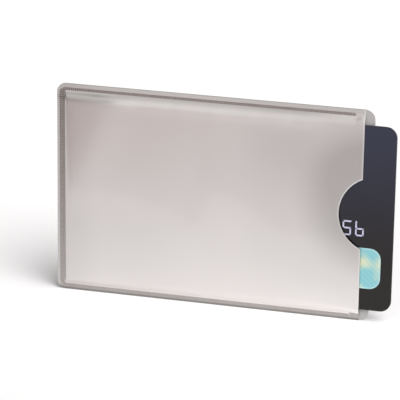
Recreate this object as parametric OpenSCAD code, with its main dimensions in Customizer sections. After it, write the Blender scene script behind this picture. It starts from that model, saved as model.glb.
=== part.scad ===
// Shielding sleeve for a contactless card, with the card part-way out of its mouth.
// Each piece is drawn lying on its back: X runs along the sleeve from the closed end, Y up its
// height, and Z towards the viewer from the face where the two sheets meet. stand() then stands
// it on its long edge, with X along it, -Y towards the viewer and Z up, and the origin at the
// middle of the footprint. All lengths are in millimetres.

/* [Card] */
// Length of the card
card_l = 85.6; // [80:0.1:92]
// Height of the card
card_h = 53.98; // [50:0.02:60]
// Thickness of the card
card_t = 0.76; // [0.66:0.02:1.2]
// Radius of the card's corners
card_r = 3.18; // [1:0.02:6]
// How far the card stands out past the front sheet's mouth
card_out = 9.1; // [0:0.1:80]

/* [Card layers] */
// Thickness of the clear film on each face
overlay_t = 0.05; // [0.04:0.01:0.1]
// Thickness of the middle sheet that carries the antenna
inlay_t = 0.1; // [0.08:0.01:0.2]
// Thickness of the magnetic stripe
stripe_t = 0.03; // [0.01:0.01:0.03]
// Height of the magnetic stripe
stripe_h = 12.7; // [6:0.1:14]
// Distance from the card's top edge to the magnetic stripe
stripe_in = 4; // [2:0.1:6]
// Thickness of the signature panel
panel_t = 0.02; // [0.01:0.01:0.03]
// Length of the signature panel
panel_l = 58; // [30:1:70]
// Height of the signature panel
panel_h = 9; // [6:0.5:12]
// Gap between the magnetic stripe and the signature panel
panel_gap = 3; // [1:0.5:6]
// Distance from the card's inner end to the signature panel
panel_in = 6; // [4:0.5:12]

/* [Number] */
// The raised number
number = "1234 5678 9012 3456"; // [1234 5678 9012 3456, 0123 4567 8901 2345]
// Height of a digit
digit_h = 4.4; // [3:0.1:4.6]
// Width of a digit
digit_w = 2.5; // [1.6:0.1:3]
// Distance from one digit to the next
digit_pitch = 3.6; // [3.2:0.05:3.8]
// Width of a digit's strokes
digit_stroke = 0.5; // [0.3:0.05:0.8]
// How far the digits are raised
digit_rise = 0.46; // [0.2:0.02:0.6]
// Distance from the card's outer end to the last digit
digit_in = 8.3; // [6:0.1:10]
// Height of the number's middle above the card's lower edge
digit_up = 24.05; // [21:0.05:24.5]

/* [Foil patch] */
// Length of the foil patch
patch_l = 17; // [10:0.5:22]
// Height of the foil patch
patch_h = 12; // [8:0.1:13]
// Radius of the patch's corners
patch_r = 3.2; // [0.5:0.1:3.9]
// Thickness of the patch
patch_t = 0.02; // [0.01:0.01:0.03]
// Distance from the card's outer end to the patch
patch_in = 3.3; // [2:0.1:12]
// Distance from the card's lower edge to the patch
patch_up = 6.4; // [3:0.1:8]

/* [Chip] */
// Length of the contact plate
plate_l = 11; // [10.4:0.1:13]
// Height of the contact plate
plate_h = 8.4; // [7.8:0.1:8.8]
// Radius of the plate's corners
plate_r = 1.2; // [0.4:0.1:2.4]
// Distance from the card's inner end to the contact plate
plate_in = 9.4; // [9:0.1:12]
// Distance from the card's top edge to the contact plate
plate_down = 18.4; // [17:0.1:18.8]
// Width of the lines that part the contacts
pad_gap = 0.25; // [0.15:0.05:0.5]
// Length of the contacts on each side
pad_l = 3.1; // [2:0.1:3.8]
// Thickness of the carrier under the contacts
carrier_t = 0.15; // [0.1:0.01:0.2]
// Length of the resin over the chip
resin_l = 6.4; // [4:0.1:8]
// Height of the resin over the chip
resin_h = 5.4; // [4:0.1:7]
// Depth of the resin over the chip
resin_t = 0.3; // [0.2:0.01:0.32]

/* [Antenna] */
// Turns of the antenna
coil_turns = 4; // [2:1:5]
// Distance from the card's edges to the outer turn
coil_in = 3; // [2:0.1:3.4]
// Width of the antenna's track
track_w = 0.4; // [0.3:0.05:0.5]
// Gap between neighbouring turns
track_gap = 0.5; // [0.4:0.05:0.6]
// Thickness of the antenna's track
track_t = 0.03; // [0.01:0.01:0.03]
// Side of the square pad at each end of the antenna
coil_pad = 1; // [0.6:0.1:1.2]
// Radius of the solder that joins the antenna to the chip's carrier
bump_r = 0.3; // [0.2:0.05:0.4]
// Radius of the joint from the track through the sheet to the bridge behind it
via_r = 0.12; // [0.08:0.01:0.14]

/* [Sheets] */
// Thickness of the outer film
film_t = 0.15; // [0.08:0.01:0.3]
// Thickness of the shielding foil
foil_t = 0.05; // [0.02:0.01:0.1]
// Thickness of the inner film
liner_t = 0.1; // [0.05:0.01:0.2]
// Radius of the sheets' corners at the closed end
corner_r = 2.5; // [1:0.1:5]
// How far the back sheet reaches past the front one at the mouth
back_lip = 2.7; // [1:0.1:8]
// Radius of the back sheet's corners at the mouth
lip_r = 3; // [1:0.1:6]

/* [Welds] */
// Distance from the sheets' edge to the middle of a weld
weld_in = 1.65; // [1:0.05:3]
// Width of a weld
weld_w = 0.9; // [0.4:0.05:1.6]
// Thickness of the melted film between the sheets
weld_t = 0.06; // [0.03:0.01:0.1]
// Depth of the groove that the welding bar leaves
groove_t = 0.06; // [0.02:0.01:0.07]
// How far the long welds stop short of the mouth
weld_stop = 2.8; // [1:0.1:6]

/* [Pocket] */
// Room from the lower weld to the card's lower edge
play_low = 1.4; // [0.8:0.1:3]
// Room from the card's top edge to the upper weld
play_high = 2.2; // [0.8:0.1:4]
// Room at the closed end when the card is pushed home
play_end = 0.8; // [0.75:0.05:2]
// How far inside the mouth the card ends when it is pushed home
home_in = 0.5; // [0:0.1:3]
// Gap between the back sheet and the card
card_gap = 0.08; // [0.05:0.01:0.2]
// Gap between the raised digits and the front sheet
digit_gap = 0.12; // [0.08:0.01:0.3]
// Gap between the card's face and the front sheet at the top of the flank
flank_gap = 0.12; // [0.08:0.01:0.3]
// Width of the steep flank beside a weld
flank_w = 0.6; // [0.3:0.05:0.7]
// Width of the flank and the shoulder together
shoulder_w = 3.4; // [1:0.1:6]
// Rise of the front sheet from the shoulder to its middle
crown_h = 0.3; // [0:0.05:1]

/* [Thumb notch] */
// Radius of the thumb notch
notch_r = 11.2; // [8:0.1:14]
// Distance of the notch's centre outside the mouth
notch_out = 4.7; // [1:0.1:7]
// Height of the notch's centre above the sleeve's middle
notch_up = 0.9; // [-4:0.1:4]

/* [Hidden] */
$fn = 96;

// How far a cutting shape runs past the face that it cuts
past = 1;
// Steps in the front sheet's curve, from the shoulder to the middle
crown_steps = 6;

// Sheets and welds
weld_inner = weld_in + weld_w / 2;
weld_outer = weld_in - weld_w / 2;
pocket_h = play_low + card_h + play_high;
sleeve_h = pocket_h + 2 * weld_inner;
front_l = weld_inner + play_end + card_l + home_in;
back_l = front_l + back_lip;
sheet_t = liner_t + foil_t + film_t;
run_l = front_l - weld_stop - weld_inner;
groove_z = weld_t + sheet_t - groove_t;

// Heights of the front sheet's inner face above the parting face
flank_z = card_gap + card_t + flank_gap;
shoulder_z = card_gap + card_t + digit_rise + digit_gap;
crown_z = shoulder_z + crown_h;

// The whole part, whose footprint's middle is the origin
card_x = front_l + card_out - card_l;
card_y = weld_inner + play_low;
total_l = max(back_l, card_x + card_l);
front_z = crown_z + sheet_t;
back_z = -sheet_t;

// Levels of the card's layers above its back face
core_t = (card_t - 2 * overlay_t - inlay_t) / 2;
inlay_z = overlay_t + core_t;
front_core_z = inlay_z + inlay_t;
front_overlay_z = card_t - overlay_t;

// The chip and its contact plate
plate_y = card_h - plate_down - plate_h;
carrier_z = front_overlay_z - carrier_t;
resin_z = carrier_z - resin_t;
resin_x = plate_in + (plate_l - resin_l) / 2;
resin_y = plate_y + (plate_h - resin_h) / 2;

// The antenna, whose ends meet the carrier beside the resin
track_pitch = track_w + track_gap;
track_z = front_core_z - track_t;
joint_x = (plate_in + resin_x) / 2;
outer_end_y = plate_y + plate_h / 4;
inner_end_y = plate_y + plate_h * 3 / 4;

// What is on the card's back
stripe_y = card_h - stripe_in - stripe_h;
panel_y = stripe_y - panel_gap - panel_h;

// The strokes of the digits 0 to 9: a top, b upper right, c lower right, d bottom,
// e lower left, f upper left, g middle
STROKES = ["abcdef", "bc", "abged", "abgcd", "fgbc", "afgcd", "fegcd", "abc", "abcdefg", "gfabc"];

// Stands a piece on its long edge
module stand() {
    translate([-total_l / 2, (front_z + back_z) / 2, 0])
        rotate([90, 0, 0])
            children();
}

// Puts a piece of the card in its place in the pocket
module in_pocket() {
    stand()
        translate([card_x, card_y, card_gap])
            children();
}

// What a round corner at the origin takes off
module corner_waste(r) {
    difference() {
        translate([-past, -past])
            square(r + past);
        translate([r, r])
            circle(r);
    }
}

// A rectangle with one radius at its left corners and another at its right ones
module rounded(l, h, left_r, right_r) {
    difference() {
        square([l, h]);
        corner_waste(left_r);
        translate([0, h])
            mirror([0, 1])
                corner_waste(left_r);
        if (right_r > 0) {
            translate([l, 0])
                mirror([1, 0])
                    corner_waste(right_r);
            translate([l, h])
                rotate(180)
                    corner_waste(right_r);
        }
    }
}

// Height of the front sheet's inner face at a distance from the nearest weld
function roof_z(d, half_w) =
    crown_z - crown_h * pow((half_w - d) / (half_w - shoulder_w), 2);

// Section of that face from a weld's inner edge to the middle
function roof_side(half_w) = concat(
    [[0, weld_t], [flank_w, flank_z]],
    [for (i = [0:crown_steps])
        let (d = shoulder_w + (half_w - shoulder_w) * i / crown_steps)
            [d, roof_z(d, half_w)]]
);

// The space under the front sheet's inner face, with that face raised by rise
module under_roof(rise, spare) {
    side = roof_side(pocket_h / 2);
    last = len(side) - 1;
    floor_z = back_z - past - spare;
    near = [
        [-spare, floor_z], [-spare, weld_t + rise],
        for (p = side) [weld_inner + p[0], p[1] + rise]
    ];
    across = concat(
        near,
        [for (i = [last - 1:-1:0]) [sleeve_h - weld_inner - side[i][0], side[i][1] + rise]],
        [[sleeve_h + spare, weld_t + rise], [sleeve_h + spare, floor_z]]
    );
    along = concat(
        near,
        [[front_l + spare, crown_z + rise], [front_l + spare, floor_z]]
    );
    intersection() {
        translate([-spare, 0, 0])
            rotate([90, 0, 90])
                linear_extrude(front_l + 2 * spare)
                    polygon(across);
        translate([0, sleeve_h + spare, 0])
            rotate([90, 0, 0])
                linear_extrude(sleeve_h + 2 * spare)
                    polygon(along);
    }
}

// One layer of the front sheet, between two heights above its inner face
module front_layer(low, high) {
    intersection() {
        difference() {
            under_roof(high, 0);
            under_roof(low, past);
        }
        linear_extrude(front_z + past)
            difference() {
                rounded(front_l, sleeve_h, corner_r, 0);
                translate([front_l + notch_out, sleeve_h / 2 + notch_up])
                    circle(notch_r);
            }
    }
}

// One layer of the back sheet, below a level
module back_layer(level, thick) {
    translate([0, 0, level - thick])
        linear_extrude(thick)
            rounded(back_l, sleeve_h, corner_r, lip_r);
}

// The strips of the three welds
module bottom_strip(z, thick) {
    translate([weld_inner, weld_outer, z])
        cube([run_l, weld_w, thick]);
}

module top_strip(z, thick) {
    translate([weld_inner, sleeve_h - weld_inner, z])
        cube([run_l, weld_w, thick]);
}

module end_strip(z, thick) {
    translate([weld_outer, weld_outer, z])
        cube([weld_w, sleeve_h - 2 * weld_outer, thick]);
}

module front_outer_film() {
    color("silver")
        stand()
            difference() {
                front_layer(liner_t + foil_t, sheet_t);
                bottom_strip(groove_z, past);
                top_strip(groove_z, past);
                end_strip(groove_z, past);
            }
}

module front_shield_foil() {
    color("gainsboro")
        stand()
            front_layer(liner_t, liner_t + foil_t);
}

module front_inner_liner() {
    color("whitesmoke")
        stand()
            front_layer(0, liner_t);
}

module back_inner_liner() {
    color("whitesmoke")
        stand()
            back_layer(0, liner_t);
}

module back_shield_foil() {
    color("gainsboro")
        stand()
            back_layer(-liner_t, foil_t);
}

module back_outer_film() {
    color("silver")
        stand()
            back_layer(-liner_t - foil_t, film_t);
}

module top_weld() {
    color("gray")
        stand()
            top_strip(0, weld_t);
}

module end_weld() {
    color("gray")
        stand()
            end_strip(0, weld_t);
}

module bottom_weld() {
    color("gray")
        stand()
            bottom_strip(0, weld_t);
}

// One sheet of the card
module card_sheet(z, thick) {
    translate([0, 0, z])
        linear_extrude(thick)
            rounded(card_l, card_h, card_r, card_r);
}

// The contact plate's outline as a solid
module plate(z, thick) {
    translate([plate_in, plate_y, z])
        linear_extrude(thick)
            rounded(plate_l, plate_h, plate_r, plate_r);
}

module resin(spare) {
    translate([resin_x, resin_y, resin_z])
        cube([resin_l, resin_h, resin_t + spare]);
}

module patch(z, thick) {
    translate([card_l - patch_in - patch_l, patch_up, z])
        linear_extrude(thick)
            rounded(patch_l, patch_h, patch_r, patch_r);
}

module stripe(z, thick) {
    translate([0, stripe_y, z])
        cube([card_l, stripe_h, thick]);
}

module panel(z, thick) {
    translate([panel_in, panel_y, z])
        cube([panel_l, panel_h, thick]);
}

// The square pad at one end of the antenna
module end_pad(y) {
    translate([joint_x - coil_pad / 2, y - coil_pad / 2])
        square(coil_pad);
}

// The antenna's flat track: each turn runs down the left, along the bottom, up the right and
// back along the top, one pitch further in than the last
module track() {
    half = track_w / 2;
    for (i = [0:coil_turns]) {
        a = coil_in + i * track_pitch;
        left_top = i == 0 ? outer_end_y + half : card_h - a + track_pitch;
        left_low = i == coil_turns ? inner_end_y - half : a;
        translate([a, left_low])
            square([track_w, left_top - left_low]);
        if (i < coil_turns) {
            translate([a, a])
                square([card_l - 2 * a, track_w]);
            translate([card_l - a - track_w, a])
                square([track_w, card_h - 2 * a]);
            translate([a + track_pitch, card_h - a - track_w])
                square([card_l - 2 * a - track_pitch, track_w]);
        } else
            translate([a, left_low])
                square([joint_x - a, track_w]);
    }
    end_pad(inner_end_y);
}

// The bridge behind the turns, from the outer end to the chip
module bridge() {
    translate([coil_in, outer_end_y - track_w / 2])
        square([joint_x - coil_in, track_w]);
    end_pad(outer_end_y);
}

// The antenna, with its faces carried on past the sheet where it is used to cut
module antenna(spare) {
    translate([0, 0, track_z])
        linear_extrude(track_t + spare)
            track();
    translate([0, 0, inlay_z - spare])
        linear_extrude(track_t + spare)
            bridge();
    translate([coil_in + track_w / 2, outer_end_y, inlay_z])
        cylinder(h = inlay_t, r = via_r);
    translate([joint_x, outer_end_y, inlay_z])
        cylinder(h = carrier_z - inlay_z, r = bump_r);
    translate([joint_x, inner_end_y, track_z])
        cylinder(h = carrier_z - track_z, r = bump_r);
}

module card_front_overlay() {
    color("midnightblue")
        in_pocket()
            difference() {
                card_sheet(front_overlay_z, overlay_t);
                plate(front_overlay_z - past, overlay_t + 2 * past);
                patch(card_t - patch_t, past);
            }
}

module card_front_core() {
    color("darkslategray")
        in_pocket()
            difference() {
                card_sheet(front_core_z, core_t);
                plate(carrier_z, past);
                resin(past);
                for (y = [outer_end_y, inner_end_y])
                    translate([joint_x, y, front_core_z - past])
                        cylinder(h = core_t + 2 * past, r = bump_r);
            }
}

module card_inlay() {
    color("ivory")
        in_pocket()
            difference() {
                card_sheet(inlay_z, inlay_t);
                antenna(past);
                resin(past);
            }
}

module card_back_core() {
    color("darkslategray")
        in_pocket()
            difference() {
                card_sheet(overlay_t, core_t);
                resin(past);
            }
}

module card_back_overlay() {
    color("midnightblue")
        in_pocket()
            difference() {
                card_sheet(0, overlay_t);
                stripe(stripe_t - past, past);
                panel(panel_t - past, past);
            }
}

module antenna_coil() {
    color("peru")
        in_pocket()
            antenna(0);
}

module chip_module() {
    color("black")
        in_pocket() {
            plate(carrier_z, carrier_t);
            resin(0);
        }
}

// Three contacts on each side of a plain middle strip
module contact_pads() {
    color("gold")
        in_pocket()
            difference() {
                plate(front_overlay_z, overlay_t);
                for (x = [pad_l, plate_l - pad_l - pad_gap])
                    translate([plate_in + x, plate_y - past, front_overlay_z - past])
                        cube([pad_gap, plate_h + 2 * past, overlay_t + 2 * past]);
                for (x = [-past, plate_l - pad_l], i = [1, 2])
                    translate([
                        plate_in + x,
                        plate_y + plate_h * i / 3 - pad_gap / 2,
                        front_overlay_z - past
                    ])
                        cube([pad_l + past, pad_gap, overlay_t + 2 * past]);
            }
}

module magnetic_stripe() {
    color("dimgray")
        in_pocket()
            stripe(0, stripe_t);
}

module signature_panel() {
    color("white")
        in_pocket()
            panel(0, panel_t);
}

module foil_patch() {
    color("mediumturquoise")
        in_pocket()
            patch(card_t - patch_t, patch_t);
}

module level_stroke(y) {
    translate([0, y])
        square([digit_w, digit_stroke]);
}

module upright_stroke(x, y) {
    translate([x, y])
        square([digit_stroke, (digit_h + digit_stroke) / 2]);
}

// One stroke of a digit, by its letter
module stroke(letter) {
    right_x = digit_w - digit_stroke;
    middle_y = (digit_h - digit_stroke) / 2;
    if (letter == "a") level_stroke(digit_h - digit_stroke);
    if (letter == "b") upright_stroke(right_x, middle_y);
    if (letter == "c") upright_stroke(right_x, 0);
    if (letter == "d") level_stroke(0);
    if (letter == "e") upright_stroke(0, 0);
    if (letter == "f") upright_stroke(0, middle_y);
    if (letter == "g") level_stroke(middle_y);
}

module embossed_digits() {
    first_x = card_l - digit_in - digit_w - (len(number) - 1) * digit_pitch;
    color("lightsteelblue")
        in_pocket()
            for (i = [0:len(number) - 1])
                if (number[i] != " ")
                    translate([first_x + i * digit_pitch, digit_up - digit_h / 2, card_t])
                        linear_extrude(digit_rise)
                            for (letter = STROKES[ord(number[i]) - ord("0")])
                                stroke(letter);
}

front_outer_film();
front_shield_foil();
front_inner_liner();
back_inner_liner();
back_shield_foil();
back_outer_film();
top_weld();
end_weld();
bottom_weld();
card_front_overlay();
card_front_core();
card_inlay();
card_back_core();
card_back_overlay();
antenna_coil();
chip_module();
contact_pads();
magnetic_stripe();
signature_panel();
foil_patch();
embossed_digits();
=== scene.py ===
"""The looks of a shielding card sleeve and of the card that slides in it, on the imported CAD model."""

import math

import bpy
import numpy as np
from mathutils import Matrix, Vector


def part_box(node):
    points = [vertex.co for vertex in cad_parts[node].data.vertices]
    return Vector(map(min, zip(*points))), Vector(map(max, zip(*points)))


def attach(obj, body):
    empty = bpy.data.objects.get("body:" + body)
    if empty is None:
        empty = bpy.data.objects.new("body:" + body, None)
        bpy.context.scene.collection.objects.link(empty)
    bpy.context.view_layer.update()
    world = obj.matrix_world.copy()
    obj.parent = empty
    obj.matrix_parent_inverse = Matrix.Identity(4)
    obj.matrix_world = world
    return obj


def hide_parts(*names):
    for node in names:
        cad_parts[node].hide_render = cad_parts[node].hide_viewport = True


bl_info = {
    "name": "Card sleeve looks",
    "version": (1, 0, 0),
    "blender": (4, 5, 0),
    "location": "3D View > Sidebar > Card sleeve",
    "description": "Films, welds, card and studio for a shielding card sleeve",
    "category": "Object",
}

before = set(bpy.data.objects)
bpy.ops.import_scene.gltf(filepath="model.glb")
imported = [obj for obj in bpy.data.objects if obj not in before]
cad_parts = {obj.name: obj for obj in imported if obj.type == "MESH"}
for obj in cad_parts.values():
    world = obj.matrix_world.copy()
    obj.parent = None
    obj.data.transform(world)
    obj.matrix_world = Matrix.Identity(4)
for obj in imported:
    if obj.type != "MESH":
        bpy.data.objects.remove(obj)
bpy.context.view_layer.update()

MM = 0.001
# The sleeve's own corner: its closed end, the face where its two sheets meet, and its lower edge
CLOSED_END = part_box("back_outer_film")[0].x
PARTING_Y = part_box("back_inner_liner")[0].y
SLEEVE_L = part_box("front_outer_film")[1].x - CLOSED_END
BACK_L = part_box("back_outer_film")[1].x - CLOSED_END
SLEEVE_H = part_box("back_outer_film")[1].z
CARD_LOW, CARD_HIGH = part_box("card_front_overlay")
# Radii of the sheets' corners in mm: at the closed end, and of the back sheet at the mouth
CORNER_R = 2.5
BACK_MOUTH_R = 3.0
# Width in mm of the rim round a sheet in which its grid is fine
RIM_W = 5
# Depth in mm of the welds' groove in the front sheet, and how far in front of the parting face its floor is
FRONT_GROOVE = 0.06
GROOVE_FLOOR = 0.3
# The thumb notch, in mm from the closed end and the lower edge: its centre and its radius
NOTCH_X, NOTCH_Y, NOTCH_R = 93.7, 31.79, 11.2
# The ends of the soft fold across the upper corner, in mm from the closed end and the lower edge
FOLD = ((0.0, 24.0), (17.5, 61.0))
# Where the puckers and the painted shade and highlights along the upper weld end, in mm from the closed end
UPPER_MARKS_END = 84
# Where the painted shade along the mouth and above the notch begins, in mm from the closed end
MOUTH_SHADE_FROM = 50
# How grey the floor is at distances in mm in front of the sleeve, from white under it to white again
FLOOR_GREYS = (
    (60, 0.01), (78, 0.06), (105, 0.26), (126, 0.33), (162, 0.4), (192, 0.36), (240, 0.26), (330, 0.1),
)
FLOOR_WHITE_AGAIN = 600
# The strokes of the digits 0 to 9, and each stroke's ends in widths and half heights of a digit
STROKES = ("abcdef", "bc", "abged", "abgcd", "fgbc", "afgcd", "fegcd", "abc", "abcdefg", "gfabc")
STROKE_ENDS = {
    "a": ((0, 2), (1, 2)), "b": ((1, 1), (1, 2)), "c": ((1, 0), (1, 1)), "d": ((0, 0), (1, 0)),
    "e": ((0, 0), (0, 1)), "f": ((0, 1), (0, 2)), "g": ((0, 1), (1, 1)),
}
# Points round each end of a stroke
END_STEPS = 9
# Settings that several nodes share: a mix of colours, a colour times a factor, and a smooth turn
COLOURS = {"data_type": "RGBA"}
TIMES = {"data_type": "RGBA", "blend_type": "MULTIPLY"}
SMOOTH = {"interpolation_type": "SMOOTHSTEP"}


def linear(colour):
    """The linear colour, with alpha, of an sRGB hex value such as E8E2E0."""
    parts = [int(colour[i : i + 2], 16) / 255 for i in (0, 2, 4)]
    return tuple(c / 12.92 if c <= 0.04045 else ((c + 0.055) / 1.055) ** 2.4 for c in parts) + (1.0,)


def size(name, value_mm, description):
    """A length property whose default is in millimetres."""
    return bpy.props.FloatProperty(
        name=name, description=description, default=value_mm * MM,
        min=0, precision=5, subtype="DISTANCE", unit="LENGTH",
    )


def turned(name, degrees, description):
    """An angle property whose default is in degrees."""
    return bpy.props.FloatProperty(
        name=name, description=description, default=math.radians(degrees), subtype="ANGLE"
    )


def tint(name, value, description):
    """A colour property whose default is an sRGB hex value."""
    return bpy.props.FloatVectorProperty(
        name=name, description=description, default=linear(value), size=4, min=0, max=1, subtype="COLOR"
    )


def share(name, value, description):
    """A property from 0 to 1."""
    return bpy.props.FloatProperty(
        name=name, description=description, default=value, min=0, max=1, subtype="FACTOR"
    )


class FilmSettings(bpy.types.PropertyGroup):
    """Sizes and colours of the sleeve's films."""

    crest_up: size("Crest height", 27.5, "Height of the line where the raised number lifts the film most")
    crest_rise: size("Crest rise", 0.63, "How far the raised number lifts the front film above its edges")
    mouth_dip: size("Mouth dip", 0.16, "How far the front film falls back towards the card at the mouth")
    lip_w: size("Lip width", 0.6, "Width of the curled lip along the mouth and the thumb notch")
    lip_drop: size("Lip drop", 0.13, "How far the lip curls towards the card")
    silver: tint("Silver", "D8D4D3", "Colour of the metallised film")
    warm: tint("Warm silver", "D9D5D3", "Colour of its warmer patches")
    rim: tint("Rim", "C3BFBC", "Colour of the fused film outside the welds")
    # The drawn silver colour is that of the painted highlights on the film
    drawn: tint("Drawn silver", "F4F1F0", "Colour of the film where it is drawn smooth, as at its lip")
    dull: tint("Dulled silver", "7A7270", "Colour of the film where the welding bar has pressed it")
    roughness: share("Roughness", 0.33, "Roughness of the satin film")


class WeldSettings(bpy.types.PropertyGroup):
    """Sizes and colour of the ribs that the welding bar leaves."""

    centre_in: size("Distance in", 1.5, "Distance from the sheets' upper edge to the middle of its weld")
    end_in: size("End distance in", 1.32, "The same distance at the closed end")
    end_width: size("End width", 1.3, "Width of the weld at the closed end")
    low_out: size("Lower offset", 0.25, "How much nearer to its edge the lower weld lies")
    width: size("Width", 0.9, "Width of a weld")
    stop: size("Stop", 2.8, "How far the long welds stop short of the mouth")
    back_depth: size("Back groove", 0.04, "Depth of the weld's groove in the back sheet")
    pitch: size("Rib pitch", 0.62, "Distance from one rib to the next")
    rib_w: size("Rib width", 0.3, "Width of a rib along the weld")
    rib_h: size("Rib height", 0.038, "Height of a rib above the groove")
    corner_r: size("Corner radius", 0.9, "Radius of the weld's corners at the closed end")
    melted: tint("Melted film", "ABA3A0", "Colour of the ribs")


class CardSettings(bpy.types.PropertyGroup):
    """Sizes and colours of the card."""

    navy: tint("Navy", "2B2E40", "Colour of the print at the card's top edge")
    black: tint("Black", "100A08", "Colour of the print at the card's lower edge")
    core: tint("Core", "2A2A2E", "Colour of the card's plastic at its edge")
    tipping: tint("Tipping", "D6D6F0", "Colour of the silver on the raised number")
    digit_w: size("Digit width", 2.5, "Width of a digit")
    digit_pitch: size("Digit pitch", 3.6, "Distance from one digit to the next")
    stroke_w: size("Stroke width", 0.5, "Width of a digit's strokes")
    teal: tint("Teal foil", "8AC6CD", "Colour of the foil patch")
    # The pale foil colour is a painted sheen
    pale: tint("Pale foil", "DDE0BC", "Colour that the foil patch turns to")
    # The foil rim colour is a painted highlight along the patch's edge
    rim: tint("Foil rim", "BFE4E6", "Colour of the foil patch's pressed edge")
    patch_r: size("Patch corner", 3.2, "Radius of the foil patch's corners")


class StudioSettings(bpy.types.PropertyGroup):
    """The camera, the lamps and the floor."""

    azimuth: turned("Azimuth", 14.93, "How far the camera stands to the right")
    elevation: turned("Elevation", 18.61, "How far the camera looks down")
    roll: turned("Roll", 0.82, "Turn of the camera about its own axis")
    distance: size("Distance", 725.77, "Distance from the camera to the point that it aims at")
    aim: bpy.props.FloatVectorProperty(
        name="Aim", description="The point that the camera aims at",
        default=(-0.00646, -0.00064, 0.03145), subtype="XYZ",
    )
    lens: bpy.props.FloatProperty(
        name="Lens", description="Focal length on a 36 mm sensor", default=231.66, unit="CAMERA"
    )
    key: bpy.props.FloatProperty(
        name="Key light", description="Strength of the broad key light in W/m2", default=3.45, min=0
    )
    key_width: turned("Key width", 50, "How wide the key light looks from the sleeve")
    sky: share("Sky", 0.13, "Strength of the studio's even light")
    screen: share("Screen", 0.85, "How much the pale screen in front adds to it")
    paper: tint("Paper", "F7F6F6", "Colour of the floor")
    shade: tint("Shaded paper", "AA9392", "Colour of the floor's greyer band, which the film reflects")


def settle(node, inputs):
    """Sets or links a node's inputs by name or number, and links a given node by its first output. In a
    mix of colours the colours are 6 and 7. In a map range 1 and 2 are the ends in, 3 and 4 those out."""
    for key, value in inputs.items():
        if isinstance(value, bpy.types.Node):
            value = value.outputs[0]
        if isinstance(value, bpy.types.NodeSocket):
            node.id_data.links.new(value, node.inputs[key])
        else:
            node.inputs[key].default_value = value


def adder(tree):
    """The function that adds a node to this tree, gives it its settings, and sets or links its inputs."""

    def add(kind, inputs=(), **settings):
        made = tree.nodes.new(kind)
        for name, value in settings.items():
            setattr(made, name, value)
        settle(made, dict(inputs))
        return made

    return add


def put(name, data):
    """A new object that stands in the scene."""
    made = bpy.data.objects.new(name, data)
    bpy.context.scene.collection.objects.link(made)
    return made


def put_mesh(name, points, faces, sharp_degrees):
    """A new smooth mesh object that stands in the scene, with edges sharp beyond this angle."""
    mesh = bpy.data.meshes.new(name)
    mesh.from_pydata(points, [], faces)
    mesh.validate()
    mesh.shade_smooth()
    mesh.set_sharp_from_angle(angle=math.radians(sharp_degrees))
    return put(name, mesh)


def surface(name):
    """A material with its output, the function that adds its nodes, its Principled shader and the
    piece's Object coordinates."""
    material = bpy.data.materials.new(name)
    material.use_nodes = True
    material.node_tree.nodes.clear()
    add = adder(material.node_tree)
    shader = add("ShaderNodeBsdfPrincipled")
    add("ShaderNodeOutputMaterial", {"Surface": shader})
    return material, add, shader, add("ShaderNodeTexCoord").outputs["Object"]


def metallised_film(film):
    """Polyester film with a vapour-deposited aluminium coat under a satin face: a soft, slightly warm
    mirror whose highlights spread wide, dulled and darker where the welding bar has melted it."""
    # The sheet's masks lay painted shade and painted highlights on this film
    material, add, shader, place = surface("metallised_polyester_film")
    # The coat's thickness drifts over about 25 mm of film, which warms its colour in patches
    drift = add("ShaderNodeTexNoise", {"Vector": place, "Scale": 40, "Detail": 1})
    tone = add("ShaderNodeMix", {"Factor": drift, 6: film.silver, 7: film.warm}, **COLOURS)
    pressed = add("ShaderNodeAttribute", attribute_name="pressed").outputs["Fac"]
    # Melted film is mottled over about 0.4 mm
    mottle = add("ShaderNodeTexNoise", {"Vector": place, "Scale": 2500, "Detail": 2})
    patchy = add("ShaderNodeMapRange", {"Value": mottle, 3: 0.7})
    melt = add("ShaderNodeMath", {0: pressed, 1: patchy}, operation="MULTIPLY")
    dulled_and_shaded = add("ShaderNodeMix", {"Factor": melt, 6: tone.outputs[2], 7: film.dull}, **COLOURS)
    # The fused rim is dull, and painted darker towards the lower edge, as painted shade where the sleeve
    # stands on the floor
    rim = add("ShaderNodeAttribute", attribute_name="rim").outputs["Fac"]
    spot = add("ShaderNodeSeparateXYZ", {0: place})
    foot_shade = add("ShaderNodeMapRange", {"Value": spot.outputs[2], 1: 0.1 * MM, 2: 1.6 * MM, 3: 0.38}, **SMOOTH)
    wear_and_shade = add("ShaderNodeMix", {"Factor": 1.0, 6: film.rim, 7: foot_shade}, **TIMES)
    edged = add("ShaderNodeMix", {"Factor": rim, 6: dulled_and_shaded.outputs[2], 7: wear_and_shade.outputs[2]}, **COLOURS)
    # Painted shade: softly darker places on the film, from the sheet's masks
    marks = add("ShaderNodeAttribute", attribute_name="dulled_and_shaded")
    dim = add("ShaderNodeMapRange", {"Value": marks.outputs["Fac"], 3: 1.0, 4: 0.69})
    shaded = add("ShaderNodeMix", {"Factor": 1.0, 6: edged.outputs[2], 7: dim}, **TIMES)
    # Painted highlights: softly brighter places on the film, from the sheet's masks
    drawn = add("ShaderNodeAttribute", attribute_name="bright").outputs["Fac"]
    colour = add("ShaderNodeMix", {"Factor": drawn, 6: shaded.outputs[2], 7: film.drawn}, **COLOURS)
    # The fused rim looks more like plastic than like metal
    metal = add("ShaderNodeMapRange", {"Value": rim, 3: 1.0, 4: 0.35})
    # Handling scuffs, about 3 mm long, change the gloss a little
    scuffs = add("ShaderNodeTexNoise", {"Vector": place, "Scale": 320, "Detail": 3, "Distortion": 0.6})
    gloss = add("ShaderNodeMapRange", {"Value": scuffs, 3: film.roughness - 0.04, 4: film.roughness + 0.05})
    # The satin face has a grain of about 0.02 mm, drawn here at 0.25 mm so that it shows
    grain = add("ShaderNodeTexNoise", {"Vector": place, "Scale": 4000, "Detail": 2})
    relief = add("ShaderNodeBump", {"Height": grain, "Strength": 0.12, "Distance": 0.01 * MM})
    settle(shader, {"Base Color": colour.outputs[2], "Metallic": metal, "Roughness": gloss, "Normal": relief})
    return material


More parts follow.
